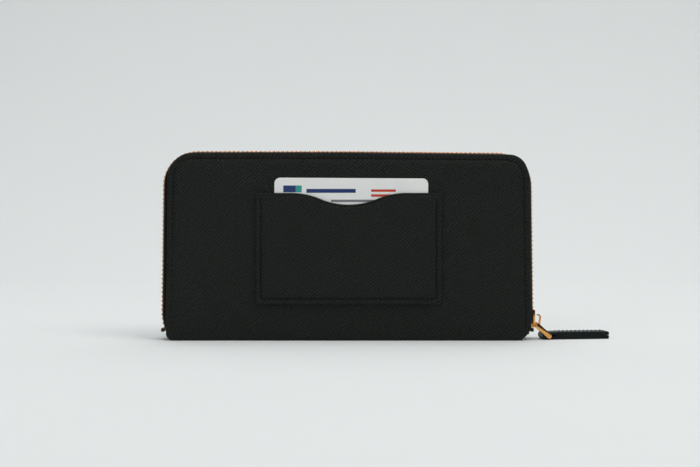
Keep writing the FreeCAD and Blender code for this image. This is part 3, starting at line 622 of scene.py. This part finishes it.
def zip_tape(side):
    """The tape: it swells from behind the cover's edge out to the teeth."""
    sign = SIDES[side]
    profile = [(10.3, -0.8), (10.15, 0.0), (9.4, 0.45), (8, 0.72)]
    profile += [(6, 0.88), (4, 0.95), (2.9, 0.98), (2.3, 1.0)]
    thick = 0.5 * MM
    outer, inner = [], []
    for y, share in profile:
        line = zip_line(share)
        outer.append([Vector((p.x, y * MM * sign, p.y)) for p in line])
        middle = Vector((0, 45 * MM))
        inner.append([Vector((p.x, y * MM * sign, p.y)) - pull(p, middle, thick) for p in line])
    mesh = bmesh.new()
    bridge_rings(mesh, outer + inner[::-1] + outer[:1], closed=False)
    bmesh.ops.remove_doubles(mesh, verts=mesh.verts, dist=1e-7)
    bmesh.ops.holes_fill(mesh, edges=[edge for edge in mesh.edges if edge.is_boundary])
    name = f"zip_tape_{side}"
    finish_mesh(f"{name}_woven", mesh, TAPE, flex(side), [name])


def pull(point, middle, thick):
    """A short step from a place on the zip towards the wallet's middle."""
    step = (point - middle).normalized() * thick
    return Vector((step.x, 0, step.y))


def add_tooth(mesh, place, direction, sign):
    """One tooth: a broad foot clamped on the tape and a narrower rounded head."""
    outward = Vector((-direction.z, 0, direction.x))
    sections = [
        (2.65, 0.6, 0.76),
        (2.45, 0.7, 0.95),
        (1.5, 0.7, 1.0),
        (1.15, 0.5, 0.92),
        (0.2, 0.5, 0.92),
        (-0.4, 0.54, 0.9),
        (-0.7, 0.36, 0.6),
    ]
    rings = []
    for y, half_width, half_rise in sections:
        ring = []
        for step in range(8):
            angle = math.pi / 8 + step * math.pi / 4
            across = direction * (math.cos(angle) * half_width * MM * 1.08)
            rise = outward * (math.sin(angle) * half_rise * MM * 1.08)
            ring.append(place + across + rise + Vector((0, sign * y * MM, 0)))
        rings.append(ring)
    rows = bridge_rings(mesh, rings)
    mesh.faces.new(rows[0])
    mesh.faces.new(rows[-1])


def zip_teeth(side):
    """One row of teeth round the wallet, from the left stop into the slider."""
    sign = SIDES[side]
    line = [Vector((p.x, 0, p.y)) for p in zip_line(1.0)]
    shift = 3.5 * MM + (0 if sign < 0 else TOOTH_PITCH / 2)
    mesh = bmesh.new()
    for place, direction in walk(line, TOOTH_PITCH, shift, 8 * MM):
        add_tooth(mesh, place, direction, sign)
    name = f"zip_teeth_{side}"
    finish_mesh(f"{name}_metal", mesh, ZIP_METAL, flex(side), [name])


def slider():
    """Slider, bridge, stops and the coin zip's metal, with every edge rounded."""
    soften("slider_metal", "slider_body", GOLD, "zip_slider", 0.28 * MM, 4)
    soften("bridge_metal", "slider_bridge", GOLD, "zip_slider", 0.2 * MM, 3)
    soften("link_metal", "pull_link", GOLD, "link", 0.2 * MM, 3)
    soften("stops_metal", "zip_stops", STOP_METAL, ROOT, 0.3 * MM, 3)
    soften("coin_slider_metal", "coin_slider_body", GOLD, "coin_slider", 0.15 * MM, 3)
    soften("coin_pull_metal", "coin_pull", GOLD, "coin_puller", 0.15 * MM, 3)


def tab_sections():
    """The folded strip in the tab's own frame: outer and inner (x, z) of each section, in millimetres."""
    low_layer = [((34.3, 0.45), (34.3, 1.9)), ((33.9, 0.1), (33.9, 2.0))]
    low_layer += [((x, 0.02), (x, 2.02)) for x in (30, 22, 15, 9, 4.5)]
    low_layer += [((2.8, 0.04), (2.8, 1.84)), ((1.6, 0.03), (1.6, 1.41)), ((0, 0.02), (0, 1.34))]
    middle = TAB_THICKNESS / 2
    outer_place, outer_radius = -2.3, 2.08
    inner_place, inner_radius = -0.85, 0.76
    fold = []
    for step in range(9):
        angle = -math.pi / 2 - step * math.pi / 8
        across, rise = math.cos(angle), math.sin(angle)
        outer = (outer_place + outer_radius * across, middle + outer_radius * rise)
        inner = (inner_place + inner_radius * across, middle + inner_radius * rise)
        fold.append((outer, inner))
    high_layer = [tuple((x, TAB_THICKNESS - z) for x, z in section) for section in low_layer[::-1]]
    return low_layer + fold + high_layer


def pull_tab():
    """The tab: one strip folded over the link's bar, with two layers sewn together."""
    bar = joint_place("pull_tab_swing")
    half_width = 5 * MM
    turn = Matrix.Rotation(TAB_TURN, 4, "Z")
    place = Matrix.Translation((bar.x, bar.y, 0)) @ turn
    rings = []
    for outer, inner in tab_sections():
        corners = [(outer, -half_width), (inner, -half_width), (inner, half_width), (outer, half_width)]
        rings.append([place @ Vector((x * MM, y, z * MM)) for (x, z), y in corners])
    mesh = bmesh.new()
    rows = bridge_rings(mesh, rings)
    mesh.faces.new(rows[0])
    mesh.faces.new(rows[-1])
    sharp = [edge for edge in mesh.edges if edge.calc_face_angle() > math.radians(40)]
    bmesh.ops.bevel(mesh, geom=sharp, offset=0.32 * MM, segments=3, profile=0.5, affect="EDGES")
    finish_mesh("pull_tab_leather", mesh, TAB, "tab", ["pull_tab"])
    inset, top = 1.3 * MM, 4.17 * MM
    first, last = 4.0 * MM, 32.2 * MM
    lines = []
    for y in (-half_width + inset, half_width - inset):
        lines.append([place @ Vector((first, y, top)), place @ Vector((last, y, top))])
    lines.append([place @ Vector((last, y, top)) for y in (inset - half_width, half_width - inset)])
    up = Vector((0, 0, 1))
    stitch_line("pull_tab_stitches", lines, up, "tab", 2.4 * MM, 0.26 * MM, TAB_THREAD)


# ---------------------------------------------------------------- spine, coin pocket, gussets


def spine():
    """The spine strip and its lining."""
    soften("spine_leather", "spine", LEATHER, ROOT, 0.1 * MM)
    soften("spine_lining_leather", "spine_lining", LINING, ROOT, 0.1 * MM)


def coin_pocket(side):
    """A coin pocket panel, its tape and its row of teeth."""
    sign = SIDES[side]
    node = f"coin_pocket_{side}_panel"
    soften(f"{node}_leather", node, INNER, ROOT, 0.2 * MM, 3)
    soften(f"coin_tape_{side}_woven", f"coin_tape_{side}", TAPE, ROOT, 0.1 * MM)
    low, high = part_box(node)
    y = (low[1] if sign < 0 else high[1]) + sign * 0.02 * MM
    inset = 2.5 * MM
    top = [Vector((low[0] + inset, y, high[2] - inset)), Vector((high[0] - inset, y, high[2] - inset))]
    sides = [
        [Vector((x, y, low[2] + inset)), Vector((x, y, high[2] - inset))]
        for x in (low[0] + inset, high[0] - inset)
    ]
    outward = Vector((0, sign, 0))
    stitch_line(f"{node}_stitches", [top] + sides, outward, ROOT, radius=0.2 * MM)
    node = f"coin_teeth_{side}"
    low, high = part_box(node)
    middle = (low[2] + high[2]) / 2
    line = [Vector((low[0] + 0.55 * MM, 0, middle)), Vector((high[0], 0, middle))]
    mesh = bmesh.new()
    for place, direction in walk(line, TOOTH_PITCH):
        add_tooth(mesh, place, direction, sign)
    finish_mesh(f"{node}_metal", mesh, ZIP_METAL, ROOT, [node])


def gusset(side, end):
    """A V of thin leather between the coin pocket and a cover."""
    node = f"gusset_{side}_{end}"
    low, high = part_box(node)
    sign = SIDES[side]
    near, far = sorted((abs(low[1]), abs(high[1])))
    edge = max(abs(low[0]), abs(high[0]))
    x_sign = -1 if end == "left" else 1
    thick = 0.4 * MM
    rings = []
    for level in range(13):
        share = level / 12
        z = low[2] + (high[2] - low[2]) * share
        depth = (5 + 24 * share) * MM
        section = []
        for skin in (0.0, thick):
            arm = []
            for step in range(17):
                turn = step / 16
                fold = 1 - abs(2 * turn - 1) ** 1.15
                y = near + skin * 0.4 + (far - near - skin * 0.8) * turn
                arm.append(Vector(((edge - fold * (depth - skin * 2)) * x_sign, y * sign, z)))
            section += arm if skin == 0.0 else arm[::-1]
        rings.append(section)
    mesh = bmesh.new()
    rows = bridge_rings(mesh, rings)
    mesh.faces.new(rows[0])
    mesh.faces.new(rows[-1])
    bend = (ROOT, f"{side}_half", (0, near * sign, 0), (0, far * sign, 0))
    finish_mesh(f"{node}_leather", mesh, INNER, bend, [node])


# ---------------------------------------------------------------- stage, light and camera


def stage():
    """A pale floor that curves up into a wall, in one sheet."""
    reach, bend, radius, wall = 8.0, 0.5, 0.5, 4.0
    profile = [(-reach, 0.0), (bend, 0.0)]
    for step in range(1, 13):
        angle = step * math.pi / 24
        profile.append((bend + radius * math.sin(angle), radius * (1 - math.cos(angle))))
    profile.append((bend + radius, wall))
    mesh = bmesh.new()
    rings = [[Vector((x, y, z)) for x in (-reach, reach)] for y, z in profile]
    bridge_rings(mesh, rings, closed=False)
    data = bpy.data.meshes.new("backdrop")
    mesh.to_mesh(data)
    mesh.free()
    data.shade_smooth()
    nodes = Nodes("backdrop", (0.74, 0.76, 0.76), 0.9)
    cloud = nodes.noise(0.4)
    nodes.colour(nodes.ramp(cloud, 0.3, 0.7, (0.735, 0.755, 0.755), (0.745, 0.765, 0.765)))
    data.materials.append(nodes.material)
    backdrop = bpy.data.objects.new("backdrop", data)
    bpy.context.scene.collection.objects.link(backdrop)


def area_light(name, place, target, size, power, colour):
    """A soft square light aimed at a point."""
    light = bpy.data.lights.new(name, "AREA")
    light.size = size
    light.energy = power
    light.color = colour
    holder = bpy.data.objects.new(name, light)
    holder.location = place
    holder.rotation_euler = (Vector(target) - Vector(place)).to_track_quat("-Z", "Y").to_euler()
    bpy.context.scene.collection.objects.link(holder)


def room():
    """A room that is dark behind the viewer and bright overhead."""
    world = bpy.data.worlds.new("room")
    world.use_nodes = True
    tree = world.node_tree
    place = tree.nodes.new("ShaderNodeTexCoord")
    rise = tree.nodes.new("ShaderNodeVectorMath")
    rise.operation = "DOT_PRODUCT"
    rise.inputs[1].default_value = (0.1, 0.3, 0.7)
    shade = tree.nodes.new("ShaderNodeValToRGB")
    shade.color_ramp.elements[0].position = 0.1
    shade.color_ramp.elements[0].color = (0.04, 0.042, 0.042, 1)
    shade.color_ramp.elements[1].position = 0.5
    shade.color_ramp.elements[1].color = (0.95, 0.98, 0.98, 1)
    tree.links.new(place.outputs["Generated"], rise.inputs[0])
    tree.links.new(rise.outputs["Value"], shade.inputs[0])
    tree.links.new(shade.outputs[0], tree.nodes["Background"].inputs["Color"])
    tree.nodes["Background"].inputs["Strength"].default_value = 0.5
    bpy.context.scene.world = world


def lights():
    """A large key from the upper right, a soft fill from the left and a light on the wall."""
    area_light("key", (0.9, -0.9, 1.6), (0, 0, 0.05), 1.1, 11.5, (1.0, 0.99, 0.97))
    area_light("fill", (-0.9, -1.6, 1.0), (0, 0, 0.05), 1.1, 6, (0.97, 0.99, 1.0))
    area_light("wall", (0, 0.2, 2.2), (0, 1.0, 0.5), 1.6, 24, (1.0, 1.0, 1.0))
    bpy.context.scene.view_settings.view_transform = "Standard"


def camera():
    """Nearly level, straight on to the front cover."""
    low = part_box("front_cover")[0]
    distance, width = 0.8, 0.3901
    aside, eye_height, target_height = 0.7 * MM, 78 * MM, 59.9 * MM
    eye = Vector((aside, low[1] - distance, eye_height))
    target = Vector((aside, low[1], target_height))
    lens = bpy.data.cameras.new("camera")
    lens.sensor_width = 36
    lens.lens = lens.sensor_width * distance / width
    holder = bpy.data.objects.new("camera", lens)
    holder.location = eye
    holder.rotation_euler = (target - eye).to_track_quat("-Z", "Y").to_euler()
    bpy.context.scene.collection.objects.link(holder)
    bpy.context.scene.camera = holder


# ---------------------------------------------------------------- build


for half_side in SIDES:
    cover(half_side)
    inner_sheets(half_side)
    zip_tape(half_side)
    zip_teeth(half_side)
    coin_pocket(half_side)
    for half_end in ("left", "right"):
        gusset(half_side, half_end)
outer_pocket()
card()
slider()
pull_tab()
spine()
stage()
room()
lights()
camera()
